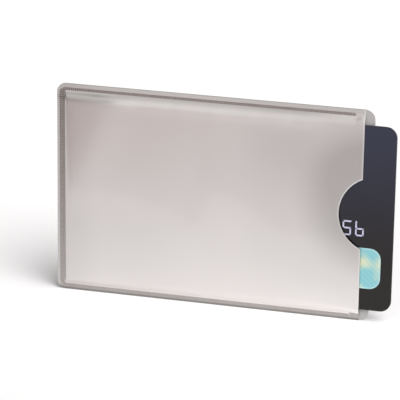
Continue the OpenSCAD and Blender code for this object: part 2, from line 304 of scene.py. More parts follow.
def melted_film(weld):
    """The same film melted into ribs between the teeth of the welding bar: darker and less even, which
    makes the weld read as a row of fine ticks."""
    material, add, shader, place = surface("melted_film_ribs")
    # Each rib cools with a tone of its own, about 0.6 mm from the next
    uneven = add("ShaderNodeTexNoise", {"Vector": place, "Scale": 1600, "Detail": 1})
    tone = add("ShaderNodeMapRange", {"Value": uneven, 3: 0.75, 4: 1.15})
    colour = add("ShaderNodeMix", {"Factor": 1.0, 6: weld.melted, 7: tone}, **TIMES)
    settle(shader, {"Base Color": colour.outputs[2], "Metallic": 0.8, "Roughness": 0.42})
    return material


def plain_metal(name, bright, dark, spacing_mm, roughness):
    """A metal with faint clouds of the given spacing, from its rolling, etching or plating."""
    material, add, shader, place = surface(name)
    clouds = add("ShaderNodeTexNoise", {"Vector": place, "Scale": 1 / (spacing_mm * MM), "Detail": 3})
    colour = add("ShaderNodeMix", {"Factor": clouds, 6: linear(dark), 7: linear(bright)}, **COLOURS)
    gloss = add("ShaderNodeMapRange", {"Value": clouds, 3: roughness + 0.08, 4: roughness - 0.05})
    settle(shader, {"Base Color": colour.outputs[2], "Metallic": 1.0, "Roughness": gloss})
    return material


def plain_plastic(name, light, dark, spacing_mm, roughness):
    """A plastic or coating with a faint mottle of the given spacing, from its rolling, moulding or
    printing, which also makes its face very slightly uneven."""
    material, add, shader, place = surface(name)
    mottle = add("ShaderNodeTexNoise", {"Vector": place, "Scale": 1 / (spacing_mm * MM), "Detail": 3})
    colour = add("ShaderNodeMix", {"Factor": mottle, 6: light, 7: dark}, **COLOURS)
    relief = add("ShaderNodeBump", {"Height": mottle, "Strength": 0.3, "Distance": 0.005 * MM})
    settle(shader, {"Base Color": colour.outputs[2], "Roughness": roughness, "IOR": 1.54, "Normal": relief})
    return material


def laminated_print(card):
    """Offset print under a pressed clear laminate: navy that deepens to black towards the lower edge,
    with the even gloss of the plate that the card was pressed against."""
    material, add, shader, place = surface("laminated_offset_print")
    spot = add("ShaderNodeSeparateXYZ", {0: place})
    # The print's tone climbs once, from 12 mm above the card's lower edge to its upper one
    ends = {1: CARD_LOW.z + 12 * MM, 2: CARD_HIGH.z}
    climb = add("ShaderNodeMapRange", {"Value": spot.outputs[2]} | ends, **SMOOTH)
    tone = add("ShaderNodeMix", {"Factor": climb, 6: card.black, 7: card.navy}, **COLOURS)
    # The printing screen, 0.15 mm, drawn at 0.5 mm so that it shows as a faint fleck
    screen = add("ShaderNodeTexNoise", {"Vector": place, "Scale": 2000, "Detail": 1})
    fleck = add("ShaderNodeMapRange", {"Value": screen, 3: 0.85, 4: 1.15})
    colour = add("ShaderNodeMix", {"Factor": 1.0, 6: tone.outputs[2], 7: fleck}, **TIMES)
    # Fine wallet scratches, 2 mm apart, break the gloss a little
    wear = add("ShaderNodeTexNoise", {"Vector": place, "Scale": 500, "Detail": 4, "Distortion": 2})
    gloss = add("ShaderNodeMapRange", {"Value": wear, 3: 0.16, 4: 0.26})
    settle(shader, {"Base Color": colour.outputs[2], "Roughness": gloss, "IOR": 1.42})
    return material


def hot_stamped_foil(card):
    """Teal hot-stamping foil with an embossed grating: a satin colour that turns pale in soft clouds of
    painted sheen, crossed by fine, nearly even lines, with a painted highlight along its edge."""
    material, add, shader, place = surface("hot_stamped_foil")
    low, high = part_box("foil_patch")
    # Soft clouds of painted sheen, about 6 mm across, in which the grating turns pale, counted from beside
    # the patch
    beside = Vector((low.x - 0.8 * MM, low.y, (low.z + high.z) / 2 - 1.6 * MM))
    counted = add("ShaderNodeMapping", {"Vector": place, "Location": -beside})
    cloud = add("ShaderNodeTexNoise", {"Vector": counted, "Scale": 170, "Detail": 1, "Roughness": 0.4})
    turn = add("ShaderNodeMapRange", {"Value": cloud, 1: 0.46, 2: 0.7})
    # The grating's lines, 0.001 mm apart, drawn 1.1 mm apart so that they show
    waves = {"Vector": counted, "Scale": 2500 / (2 * math.pi), "Distortion": 0.4}
    lines = add("ShaderNodeTexWave", waves, bands_direction="DIAGONAL")
    faint = add("ShaderNodeMapRange", {"Value": lines.outputs[1], 3: 0.96, 4: 1.03})
    colour = add("ShaderNodeMix", {"Factor": turn, 6: card.teal, 7: card.pale}, **COLOURS)
    lined = add("ShaderNodeMix", {"Factor": 1.0, 6: colour.outputs[2], 7: faint}, **TIMES)
    # A painted highlight makes the foil pale within about half a millimetre of its edge, which is found by
    # the distance past the middles of the patch's round corners
    inset = Vector(((high.x - low.x) / 2 - card.patch_r, 0, (high.z - low.z) / 2 - card.patch_r))
    steps = (
        ("SUBTRACT", {1: (low + high) / 2}), ("ABSOLUTE", {}), ("SUBTRACT", {1: inset}),
        ("MAXIMUM", {1: (0, 0, 0)}), ("MULTIPLY", {1: (1, 0, 1)}), ("LENGTH", {}),
    )
    reach = place
    for operation, value in steps:
        reach = add("ShaderNodeVectorMath", {0: reach} | value, operation=operation)
    ends = {1: card.patch_r - 0.55 * MM, 2: card.patch_r - 0.2 * MM, 4: 0.6}
    edge = add("ShaderNodeMapRange", {"Value": reach.outputs["Value"]} | ends)
    edged = add("ShaderNodeMix", {"Factor": edge, 6: lined.outputs[2], 7: card.rim}, **COLOURS)
    relief = add("ShaderNodeBump", {"Height": lines.outputs[1], "Strength": 0.2, "Distance": 0.005 * MM})
    settle(shader, {"Base Color": edged.outputs[2], "Metallic": 0.35, "Roughness": 0.34, "Normal": relief})
    return material


def tipped_plastic(card):
    """Card plastic pressed up into digits, with silver tipping foil hot-rolled over their tops and the
    dark print left round their feet."""
    material, add, shader, place = surface("tipping_foil_on_print")
    spot = add("ShaderNodeSeparateXYZ", {0: place})
    # The foil reaches down to 0.2 to 0.12 mm above the print, unevenly over about 0.3 mm
    ends = {1: CARD_LOW.y - 0.12 * MM, 2: CARD_LOW.y - 0.2 * MM}
    rise = add("ShaderNodeMapRange", {"Value": spot.outputs[1]} | ends)
    wear = add("ShaderNodeTexNoise", {"Vector": place, "Scale": 3300, "Detail": 3})
    kept = add("ShaderNodeMapRange", {"Value": wear, 1: 0.2, 2: 0.36})
    foil = add("ShaderNodeMath", {0: rise, 1: kept}, operation="MULTIPLY")
    colour = add("ShaderNodeMix", {"Factor": foil, 6: card.navy, 7: card.tipping}, **COLOURS)
    settle(shader, {"Base Color": colour.outputs[2], "Metallic": foil, "Roughness": 0.36})
    return material


def signature_coating():
    """Matt writable coating, printed with fine slanting guard lines in pale grey-blue."""
    material, add, shader, place = surface("matt_writable_coating")
    # Guard lines 1.7 mm apart
    waves = {"Vector": place, "Scale": 1650 / (2 * math.pi)}
    lines = add("ShaderNodeTexWave", waves, bands_direction="DIAGONAL")
    thin = add("ShaderNodeMapRange", {"Value": lines.outputs[1], 1: 0.8, 2: 0.95})
    colour = add("ShaderNodeMix", {"Factor": thin, 6: linear("E9E8E1"), 7: linear("C4CEDA")}, **COLOURS)
    # The coating's tooth, a few hundredths of a millimetre, drawn at 0.17 mm so that it shows
    tooth = add("ShaderNodeTexNoise", {"Vector": place, "Scale": 6000, "Detail": 2})
    relief = add("ShaderNodeBump", {"Height": tooth, "Strength": 0.4, "Distance": 0.01 * MM})
    settle(shader, {"Base Color": colour.outputs[2], "Roughness": 0.75, "Normal": relief})
    return material


def studio_paper(studio):
    """Matt background paper: white under and behind the sleeve, with a greyer band in front of it and
    to its left, out of the picture, for the film to reflect. What the camera, a mirror or glass sees
    of it is lifted a little, so that it shows as white."""
    material, add, shader, place = surface("graduated_paper")
    spot = add("ShaderNodeSeparateXYZ", {0: place})
    far = add("ShaderNodeMapRange", {"Value": spot.outputs[1], 1: 0.0, 2: -FLOOR_WHITE_AGAIN * MM})
    grade = add("ShaderNodeFloatCurve", {"Value": far})
    curve = grade.mapping.curves[0]
    curve.points[0].location = (0, 0)
    curve.points[1].location = (1, 0)
    for in_front, grey in FLOOR_GREYS:
        curve.points.new(in_front / FLOOR_WHITE_AGAIN, grey)
    grade.mapping.update()
    # It is darker on the left too, from 40 to 200 mm out, but only where it is well in front
    left = add("ShaderNodeMapRange", {"Value": spot.outputs[0], 1: -40 * MM, 2: -200 * MM, 4: 0.85}, **SMOOTH)
    front = add("ShaderNodeMapRange", {"Value": spot.outputs[1], 1: -60 * MM, 2: -160 * MM})
    grey = add("ShaderNodeMath", {0: left, 1: front, 2: grade}, operation="MULTIPLY_ADD")
    colour = add("ShaderNodeMix", {"Factor": grey, 6: studio.paper, 7: studio.shade}, **COLOURS)
    path = add("ShaderNodeLightPath").outputs
    mirror = add("ShaderNodeMath", {0: path["Is Camera Ray"], 1: path["Is Glossy Ray"]}, operation="MAXIMUM")
    seen = add("ShaderNodeMath", {0: mirror, 1: path["Is Transmission Ray"]}, operation="MAXIMUM")
    lift = add("ShaderNodeMath", {0: seen, 1: 0.04}, operation="MULTIPLY")
    settle(shader, {"Base Color": colour.outputs[2], "Roughness": 0.9, "Specular IOR Level": 0.0})
    settle(shader, {"Emission Color": colour.outputs[2], "Emission Strength": lift})
    return material


def ease(x):
    """0 below 0, 1 above 1, and a smooth turn between."""
    part = np.clip(x, 0, 1)
    return part * part * (3 - 2 * part)


def hump(x, middle, width):
    """1 at the middle, falling away smoothly to about a third at this width on either side."""
    return np.exp(-(((x - middle) / width) ** 2))


def least(a, b, soft):
    """The lesser of two values, rounded where they cross."""
    part = np.clip(0.5 + 0.5 * (b - a) / soft, 0, 1)
    return b * (1 - part) + a * part - soft * part * (1 - part)


def weld_in(x, y, weld):
    """Distance in mm from an edge that lies as far outside every weld as the upper edge does, round its
    corners, with the wider weld at the closed end drawn to the width of the others."""
    along = (weld.centre_in + (x * MM - weld.end_in) * weld.width / weld.end_width) / MM
    up = np.minimum(y + weld.low_out / MM, SLEEVE_H / MM - y)
    dx, dy = CORNER_R - along, CORNER_R - up
    return np.where((dx > 0) & (dy > 0), CORNER_R - np.hypot(dx, dy), np.minimum(along, up))


def weld_stop(weld):
    """How far from the closed end the long welds stop, in mm."""
    return SLEEVE_L / MM - weld.stop / MM


def corner_start(y, height, radius):
    """How far the sheet's end is drawn in at each height, round its corners."""
    deep = radius - np.minimum(np.minimum(y, height - y), radius)
    return radius - np.sqrt(np.maximum(radius**2 - deep**2, 0))


def merged(*lines):
    """All these grid lines in their order, without doubles."""
    return np.unique(np.round(np.concatenate(lines), 4))


def spaced(*runs):
    """Grid lines in runs of (start, end, step)."""
    return merged(*(np.linspace(a, b, max(1, round((b - a) / step)) + 1) for a, b, step in runs))


def rim_lines():
    """Grid lines that resolve the weld and the flank beside it, and the sheet's round corner."""
    fine = [0, 0.01, 0.04, 0.1, 0.2, 0.35, 0.55, 0.7, 0.78, 0.86, 0.94, 1.0, 1.06, 1.12, 1.2, 1.35, 1.5]
    near = [1.6, 1.7, 1.76, 1.83, 1.9, 1.96, 2.03, 2.12, 2.22, 2.34, 2.48]
    far = [2.64, 2.82, 3.0, 3.2, 3.4, 3.7, 4.0, 4.4, RIM_W]
    return np.array(fine + near + far)


def grid_sheet(name, columns, rows, start, end, reach, low, high, masks):
    """A closed sheet over a grid of columns and rows in mm, between two heights above the parting face.
    Its rows run from start to end. The columns follow the end's shape over the reach, and the start's
    over the rim. Its vertices carry the masks that its material reads."""
    length = columns[-1]
    drawn_in = start(rows)[:, None] * np.clip(1 - columns / RIM_W, 0, 1)
    cut_back = (length - end(rows))[:, None] * np.clip(1 - (length - columns) / reach, 0, 1)
    x = columns[None, :] + drawn_in - cut_back
    y = np.repeat(rows[:, None], len(columns), 1)
    faces = [
        np.stack([CLOSED_END + x * MM, PARTING_Y - up * MM, y * MM], -1).reshape(-1, 3)
        for up in (high(x, y), low(x, y))
    ]
    count = len(faces[0])
    index = np.arange(count).reshape(x.shape)
    corners = (index[:-1, :-1], index[:-1, 1:], index[1:, 1:], index[1:, :-1])
    front = np.stack([corner.ravel() for corner in corners], 1)
    ring = np.concatenate([index[0, :-1], index[:-1, -1], index[-1, :0:-1], index[:0:-1, 0]])
    after = np.roll(ring, -1)
    edge = np.stack([after, ring, ring + count, after + count], 1)
    quads = np.concatenate([front, front[:, ::-1] + count, edge])
    piece = put_mesh(name, np.concatenate(faces).tolist(), quads.tolist(), 40)
    for title, mask in masks.items():
        attribute = piece.data.attributes.new(title, "FLOAT", "POINT")
        attribute.data.foreach_set("value", np.tile(mask(x, y).ravel(), 2).astype(np.float32))
    return piece


def finish_piece(piece, body, slot, material, *nodes):
    """Gives a new piece its material, says which body it rides on, and hides the CAD nodes that it stands
    for.
    """
    piece.data.materials.clear()
    piece.data.materials.append(material)
    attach(piece, body)
    if nodes:
        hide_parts(*nodes)


def dress(material, *nodes):
    """Gives CAD nodes their material."""
    for node in nodes:
        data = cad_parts[node].data
        if not data.materials:
            data.materials.append(material)
        for i in range(len(data.materials)):
            data.materials[i] = material


def front_inner_face(x, y, film, weld):
    """Height of the front sheet's inner face above the parting face, in mm. From each weld it climbs
    steeply over the card's edge, then slowly to the line of the raised number. It eases back at the
    closed end, where there is no card under it, and at the mouth, where it also curls at its lip."""
    height = SLEEVE_H / MM
    inner = (weld.centre_in + weld.width / 2) / MM
    past_weld = x - weld_stop(weld)
    # Past the end of the long welds the sheets are free, so the climb starts nearer their edge
    edge = inner - 0.55 * ease(past_weld / 2.2)
    in_low = y - edge + weld.low_out / MM
    in_top = height - y - edge
    in_end = x - (weld.end_in + weld.end_width / 2) / MM
    inwards = np.maximum(least(least(in_low, in_top, 1.0), in_end, 0.8), 0)
    # It climbs 1 mm onto the card. Five sixths of that is reached 1.8 mm from the lower weld, 0.8 mm from
    # the end one, and 1.7 mm from the upper one, which becomes 2.2 mm where the card begins
    top_flank = 1.7 + 0.5 * ease((x - 12) / 8)
    by_low, by_top, by_end = (
        np.maximum(way, 0) / flank for way, flank in ((in_low, 1.8), (in_top, top_flank), (in_end, 0.8))
    )
    near = least(least(by_low, by_top, 0.5), by_end, 0.5)
    onto_card = 1.0
    climb = FRONT_GROOVE + onto_card * (1 - np.exp(-((np.maximum(near, 0) / 0.7) ** 1.7)))
    # The crest makes two arches, one over the closed half and one over the middle, with a slight bump
    # where they meet, and runs on low
    crest_up = film.crest_up / MM
    first = crest_up + 4 - 0.0108 * (x - 15) ** 2
    second = crest_up + 6.5 - 0.028 * (x - 46.5) ** 2 - 9 * ease((45 - x) / 2.5)
    crest = -least(-np.maximum(first, second), 3.5 - crest_up, 2)
    bump = 0.07 * hump(x, 39.5, 4.5) * hump(y, 21, 5.5)
    # The film rises straight to the crest from both sides, and is blunt along it
    blunt = 0.04
    off = np.minimum(np.abs(y - crest) / np.where(y < crest, crest - inner, height - inner - crest), 1)
    tent = (math.hypot(1, blunt) - np.hypot(off, blunt)) / (math.hypot(1, blunt) - blunt)
    rise = film.crest_rise / MM * tent * (1 - np.exp(-np.maximum(in_end, 0) / 5.5))
    dip = film.mouth_dip / MM * ease((x - 71) / 12.5) * ease(inwards / 6)
    # Soft waves, 34 and 20 mm long, that die out at the welds
    waves = 0.022 * np.sin(x / 6.1 + 0.09 * y) + 0.016 * np.sin(x / 3.3 - y / 9.2 + 1.3)
    waves = waves * ease(inwards / 7)
    # Faint puckers, 9 and 5 mm long, where the film is drawn into the upper weld
    puckers = 0.03 * np.sin(x / 1.43 + 0.6) + 0.025 * np.sin(x / 0.81 - 0.2 * y)
    puckers = puckers * hump(in_top, 2.4, 1.6) * ease((x - 14) / 10) * ease((UPPER_MARKS_END - x) / 6)
    # A soft fold crosses the upper corner at the closed end, where no card holds the film up. It falls
    # away over 12 mm on one side and sooner on the other, and fades at its two ends
    (x0, y0), (x1, y1) = FOLD
    fold_l = math.hypot(x1 - x0, y1 - y0)
    along = ((x - x0) * (x1 - x0) + (y - y0) * (y1 - y0)) / fold_l**2
    across = ((x - x0) * (y1 - y0) - (y - y0) * (x1 - x0)) / fold_l
    profile = np.where(across < 0, 1 - ease(-across / 12), hump(across, 0, 6))
    fold = 0.34 * profile * ease(along / 0.3 + 0.2) * ease((1.15 - along) / 0.4) * ease(inwards / 3)
    # A crease runs from the end of each long weld towards the mouth
    crease = 0
    for side, slant in ((height - inner, -1), (inner, 1)):
        aside = (y - side) - slant * (0.6 + 1.1 * past_weld)
        crease = crease + 0.03 * hump(aside, 0, 0.32) * ease(past_weld / 0.5) * ease((2.6 - past_weld) / 0.8)
    # The lip along the mouth and the notch
    lip = film.lip_drop / MM * np.clip(1 - to_mouth(x, y) * MM / film.lip_w, 0, 1) ** 2 * ease(inwards / 4)
    return climb + rise - dip + waves + puckers + fold + bump + crease - lip


def to_mouth(x, y):
    """Distance in mm from the front sheet's edge at the mouth or at the thumb notch."""
    return np.minimum(SLEEVE_L / MM - x, np.hypot(x - NOTCH_X, y - NOTCH_Y) - NOTCH_R)


def notch_end(y):
    """Where each row of the front sheet ends: at the mouth or at the thumb notch."""
    inside = np.maximum(NOTCH_R**2 - (y - NOTCH_Y) ** 2, 0)
    return np.minimum(SLEEVE_L / MM, NOTCH_X - np.sqrt(inside))


def weld_mask(x, y, weld):
    """1 where the welding bar has pressed the sheets, and 0 elsewhere."""
    inward = weld_in(x, y, weld)
    low, high = (weld.centre_in - weld.width / 2) / MM, (weld.centre_in + weld.width / 2) / MM
    across = ease((inward - low + 0.06) / 0.12) * ease((high + 0.04 - inward) / 0.12)
    return across * ease((weld_stop(weld) - x) / 0.7 + 0.5)


def film_masks(weld, front):
    """Where a sheet's film is pressed, where it is its fused rim, where it carries painted shade and where
    painted highlights. For the front sheet front is 1. For the back one it is 0: that has the painted shade
    about the notch, along the mouth, above it and at the closed end, but fainter, and no other painted shade
    or highlights. Places and widths are in mm."""
    height = SLEEVE_H / MM
    # How strong the painted shade is on this sheet
    wear_and_shade = 1.0 if front else 0.4

    def low_mouth_shade(x, y):
        # Painted shade, in the weld's dulled colour, between the lower weld's end and the mouth
        return front * ease((x - weld_stop(weld)) / 0.7 + 0.5) * ease((2.3 - y) / 0.4)

    def pressed(x, y):
        # The upper weld is painted darker than the lower one, as painted shade
        return np.maximum(weld_mask(x, y, weld) * (0.72 + 0.28 * y / height), 0.66 * low_mouth_shade(x, y))

    def rim(x, y):
        return ease(((weld.centre_in - weld.width / 2) / MM + 0.06 - weld_in(x, y, weld)) / 0.12)

    def dulled_and_shaded(x, y):
        down = height - y
        # Painted shade about the notch, along the mouth, and in a soft band above the notch
        notch = 0.88 * ease(1 - (np.hypot(x - NOTCH_X, y - NOTCH_Y - 4) - NOTCH_R) / 15)
        mouth = 0.13 * ease((x - MOUTH_SHADE_FROM) / 12) * ease((y - 6) / 14)
        above_notch_shade = 0.28 * hump(y, 48, 9) * ease((x - MOUTH_SHADE_FROM) / 20)
        # Painted shade at the closed end, at its upper corner where the fold ends, and low on the left
        end = 0.33 * ease((14 - x) / 12)
        corner = ease((19.5 - x) / 5) * hump(down, 4.0, 0.72)
        low = 0.22 * ease((60 - x) / 40) * ease((x + 2) / 14) * ease((38 - y) / 20)
        # Painted shade in a strip along the upper weld
        strip = ease((3.5 - down) / 1.5) * ease((down - 1.9) / 0.1)
        weld_strip_shade = 0.75 * strip * ease((x + 8) / 28) * ease((UPPER_MARKS_END - x) / 14)
        return wear_and_shade * np.minimum(notch + mouth + above_notch_shade + end + front * (corner + low + weld_strip_shade), 1)

    def bright(x, y):
        # Painted highlights along the lip, on the film over the card's upper and lower edges, and at the
        # mouth's lower corner
        lip = ease(1 - to_mouth(x, y) / 0.5)
        off_rim = ease((y - 1.6) / 0.3)
        upper = 0.5 * ease((x - 14) / 10) * ease((UPPER_MARKS_END - x) / 16) * hump(height - y, 5.1, 1.6)
        lower = np.clip(x / 55, 0, 1) * off_rim * ease((3.6 - y) / 1.2)
        right = 0.3 * ease((x - 60) / 25) * ease((12 - y) / 8) * off_rim
        return 0.55 * front * np.minimum(lip + upper + lower + right, 1) * (1 - 0.9 * low_mouth_shade(x, y))

    return {"pressed": pressed, "rim": rim, "dulled_and_shaded": dulled_and_shaded, "bright": bright}


class CARDSLEEVE_OT_front_sheet(bpy.types.Operator):
    """Make the front sheet's film, foil and liner"""

    bl_idname = "card_sleeve.front_sheet"
    bl_label = "Front sheet"

    def execute(self, context):
        film, weld = context.scene.sleeve_film, context.scene.sleeve_weld
        length, height = SLEEVE_L / MM, SLEEVE_H / MM
        # The grid is finest at the welds, along the mouth and round the notch's ends
        rim = rim_lines()
        mouth = length - np.array([0, 0.03, 0.08, 0.15, 0.23, 0.32, 0.42, 0.54, 0.7, 0.9, 1.2, 1.6, 2.0])
        columns = merged(rim, mouth, spaced((RIM_W, 14, 0.6), (14, 68, 1.35), (68, 84, 0.8), (84, 87, 0.25)))
        half_notch = math.sqrt(NOTCH_R**2 - (NOTCH_X - length) ** 2)
        low, high = NOTCH_Y - half_notch, NOTCH_Y + half_notch
        middle = spaced(
            (RIM_W, low - 2, 1.1), (low - 2, low, 0.4), (low, low + 3, 0.25), (low + 3, high - 3, 0.5),
            (high - 3, high, 0.25), (high, high + 2, 0.4), (high + 2, height - RIM_W, 1.1),
        )
        rows = merged(rim, middle, height - rim)
        # The front layers are as thick as the back ones
        liner_t, foil_t, film_t = (
            (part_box(node)[1].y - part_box(node)[0].y) / MM
            for node in ("back_inner_liner", "back_shield_foil", "back_outer_film")
        )
        masks = film_masks(weld, 1)

        def inner(x, y):
            return front_inner_face(x, y, film, weld)

        def on_liner(x, y):
            return inner(x, y) + liner_t

        def on_foil(x, y):
            return on_liner(x, y) + foil_t

        def outer(x, y):
            return on_foil(x, y) + film_t - FRONT_GROOVE * masks["pressed"](x, y)

        # The foil is bright grey with soft clouds from its rolling. The liner is blown film, of an even
        # pale grey and half matt
        silver = metallised_film(film)
        foil = plain_metal("rolled_aluminium_foil", "E3E4E6", "C9CACC", 2.0, 0.3)
        liner = plain_plastic("blown_polyethylene_film", linear("B3B2B1"), linear("A8A7A6"), 3.0, 0.4)
        for name, under, over, slot, material, node in (
            ("front_film", on_foil, outer, "silver_film", silver, "front_outer_film"),
            ("front_foil", on_liner, on_foil, "shield_foil", foil, "front_shield_foil"),
            ("front_liner", inner, on_liner, "liner_film", liner, "front_inner_liner"),
        ):
            # The columns follow the notch over 16 mm
            piece = grid_sheet(
                name, columns, rows, lambda y: corner_start(y, height, CORNER_R), notch_end, 16,
                under, over, masks,
            )
            finish_piece(piece, "sleeve", slot, material, node)
        return {"FINISHED"}


class CARDSLEEVE_OT_back_sheet(bpy.types.Operator):
    """Make the back sheet's film, and dress its foil and liner"""

    bl_idname = "card_sleeve.back_sheet"
    bl_label = "Back sheet"

    def execute(self, context):
        weld = context.scene.sleeve_weld
        length, height = BACK_L / MM, SLEEVE_H / MM
        low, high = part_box("back_outer_film")
        inner_z, outer_z = (PARTING_Y - low.y) / MM, (PARTING_Y - high.y) / MM
        rim = rim_lines()
        columns = merged(rim, spaced((RIM_W, length - RIM_W, 1.6)), length - rim)
        rows = merged(rim, spaced((RIM_W, height - RIM_W, 1.6)), height - rim)
        card_x, card_low, card_high = (v / MM for v in (CARD_LOW.x - CLOSED_END, CARD_LOW.z, CARD_HIGH.z))

        def outer(x, y):
            # Outside the card's outline the face lies 0.05 mm further in, which shows as a faint step.
            # Over the card two waves that cross, 31 and 38 mm long, take it in by up to 0.024 mm
            within = least(least(y - card_low, card_high - y, 3.0), x - card_x, 3.0)
            beyond = 0.05 * (1 - ease(within / 3 + 0.6))
            waves = 0.012 * (1 + np.sin(x / 5.3 + y / 14) * np.cos(y / 6.4 - x / 21 + 0.6))
            flat = 1 - weld_mask(x, y, weld)
            return outer_z + weld.back_depth / MM * (1 - flat) + (beyond + waves * ease(within / 6)) * flat

        piece = grid_sheet(
            "back_film", columns, rows,
            lambda y: corner_start(y, height, CORNER_R),
            lambda y: length - corner_start(y, height, BACK_MOUTH_R),
            RIM_W, outer, lambda x, y: np.full_like(x, inner_z), film_masks(weld, 0),
        )
        made = bpy.data.materials
        finish_piece(piece, "sleeve", "silver_film", made["metallised_polyester_film"], "back_outer_film")
        dress(made["rolled_aluminium_foil"], "back_shield_foil")
        dress(made["blown_polyethylene_film"], "back_inner_liner")
        return {"FINISHED"}


def rib_tree():
    """Geometry nodes that lay half-round ribs across a path, at an even pitch, round its corners."""
    tree = bpy.data.node_groups.new("weld_ribs", "GeometryNodeTree")
    tree.interface.new_socket("Path", in_out="INPUT", socket_type="NodeSocketGeometry")
    for name in ("Pitch", "Rib Length", "Rib Width", "Rib Height", "Corner Radius"):
        tree.interface.new_socket(name, in_out="INPUT", socket_type="NodeSocketFloat")
    tree.interface.new_socket("Material", in_out="INPUT", socket_type="NodeSocketMaterial")
    tree.interface.new_socket("Ribs", in_out="OUTPUT", socket_type="NodeSocketGeometry")
    add = adder(tree)
    given = add("NodeGroupInput").outputs
    corners = {"Curve": given["Path"], "Radius": given["Corner Radius"], "Count": 8, "Limit Radius": True}
    rounded = add("GeometryNodeFilletCurve", corners, mode="POLY")
    points = add("GeometryNodeResampleCurve", {"Curve": rounded, "Length": given["Pitch"]}, mode="LENGTH")
    half = add("ShaderNodeMath", {0: given["Rib Width"], 1: 0.5}, operation="MULTIPLY")
    rod = add("GeometryNodeMeshCylinder", {"Vertices": 10, "Radius": half, "Depth": given["Rib Length"]})
    # The rod is laid across the weld, then pressed flat to the rib's height
    flat = add("ShaderNodeMath", {0: given["Rib Height"], 1: half}, operation="DIVIDE")
    squash = add("ShaderNodeCombineXYZ", {0: 1.0, 1: 1.0, 2: flat})
    across = add("GeometryNodeTransform", {"Geometry": rod, "Rotation": (math.radians(90), 0, 0)})
    low = add("GeometryNodeTransform", {"Geometry": across, "Scale": squash})
    outward = add("FunctionNodeAlignRotationToVector", {"Vector": (0, -1, 0)}, axis="Z")
    tangent = add("GeometryNodeInputTangent")
    turned_to = {"Rotation": outward, "Vector": tangent}
    along = add("FunctionNodeAlignRotationToVector", turned_to, axis="X", pivot_axis="Z")
    # The bar's teeth are worn, so each rib differs a little in width, length and height
    spread = {"Min": (0.8, 0.9, 0.75), "Max": (1.1, 1.0, 1.05), "Seed": 7}
    wear_and_shade = add("FunctionNodeRandomValue", spread, data_type="FLOAT_VECTOR")
    placed = {"Points": points, "Instance": low, "Rotation": along, "Scale": wear_and_shade}
    ribs = add("GeometryNodeInstanceOnPoints", placed)
    real = add("GeometryNodeRealizeInstances", {"Geometry": ribs})
    done = add("GeometryNodeSetMaterial", {"Geometry": real, "Material": given["Material"]})
    add("NodeGroupOutput", {"Ribs": done})
    return tree


def run_tree(name, source, tree, values):
    """The plain mesh object that a geometry tree makes of a source object, which is then removed."""
    modifier = source.modifiers.new(tree.name, "NODES")
    modifier.node_group = tree
    for socket in tree.interface.items_tree:
        if socket.item_type == "SOCKET" and socket.in_out == "INPUT" and socket.name in values:
            modifier[socket.identifier] = values[socket.name]
    graph = bpy.context.evaluated_depsgraph_get()
    evaluated = source.evaluated_get(graph)
    mesh = bpy.data.meshes.new_from_object(evaluated, preserve_all_data_layers=True, depsgraph=graph)
    source.modifiers.remove(modifier)
    bpy.data.objects.remove(source)
    if not mesh.polygons:
        raise RuntimeError(f"the {tree.name} tree made nothing for {name}")
    mesh.name = name
    mesh.shade_smooth()
    mesh.set_sharp_from_angle(angle=math.radians(50))
    return put(name, mesh)


class CARDSLEEVE_OT_weld_ribs(bpy.types.Operator):
    """Make the fine ribs in the weld's groove on both faces, and dress the welds inside"""

    bl_idname = "card_sleeve.weld_ribs"
    bl_label = "Weld ribs"

    def execute(self, context):
        weld = context.scene.sleeve_weld
        material = melted_film(weld)
        tree = rib_tree()
        # The ribs follow the middle of the welds, end 0.25 mm before them and are 0.16 mm shorter than
        # the weld is wide
        mouth = CLOSED_END + SLEEVE_L - weld.stop - 0.25 * MM
        left = CLOSED_END + weld.end_in
        low, high = weld.centre_in - weld.low_out, SLEEVE_H - weld.centre_in
        front_y = PARTING_Y - GROOVE_FLOOR * MM
        back_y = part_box("back_outer_film")[1].y - weld.back_depth
        for name, level, rib_h in (
            ("front_weld_ribs", front_y, weld.rib_h),
            ("back_weld_ribs", back_y, min(weld.rib_h, weld.back_depth)),
        ):
            path = bpy.data.curves.new(name + "_path", "CURVE")
            path.dimensions = "3D"
            line = path.splines.new("POLY")
            corners = [(mouth, low), (left, low), (left, high), (mouth, high)]
            line.points.add(len(corners) - 1)
            for point, (x, z) in zip(line.points, corners):
                point.co = (x, level, z, 1)
            values = {
                "Pitch": weld.pitch,
                "Rib Length": weld.width - 0.16 * MM,
                "Rib Width": weld.rib_w,
                "Rib Height": rib_h,
                "Corner Radius": weld.corner_r,
                "Material": material,
            }
            piece = run_tree(name, put(name + "_path", path), tree, values)
            finish_piece(piece, "sleeve", "weld", material)
        dress(material, "top_weld", "end_weld", "bottom_weld")
        return {"FINISHED"}


class CARDSLEEVE_OT_card_layers(bpy.types.Operator):
    """Dress the card's laminate, cores, inlay and antenna"""

    bl_idname = "card_sleeve.card_layers"
    bl_label = "Card layers"

    def execute(self, context):
        card = context.scene.sleeve_card
        dress(laminated_print(card), "card_front_overlay", "card_back_overlay")
        # The core is near black and half matt where it shows at the card's edge
        core = plain_plastic("calendered_pvc", card.core, linear("1E1E21"), 0.8, 0.45)
        dress(core, "card_front_core", "card_back_core")
        # The inlay is a slightly paler and duller line between the cores
        dress(plain_plastic("pvc_inlay", linear("3B3B3E"), linear("323235"), 0.8, 0.5), "card_inlay")
        # The antenna is pale metal, roughened a little by its etching
        dress(plain_metal("etched_aluminium_track", "C8C8CC", "A9A9AE", 0.3, 0.35), "antenna_coil")
        return {"FINISHED"}


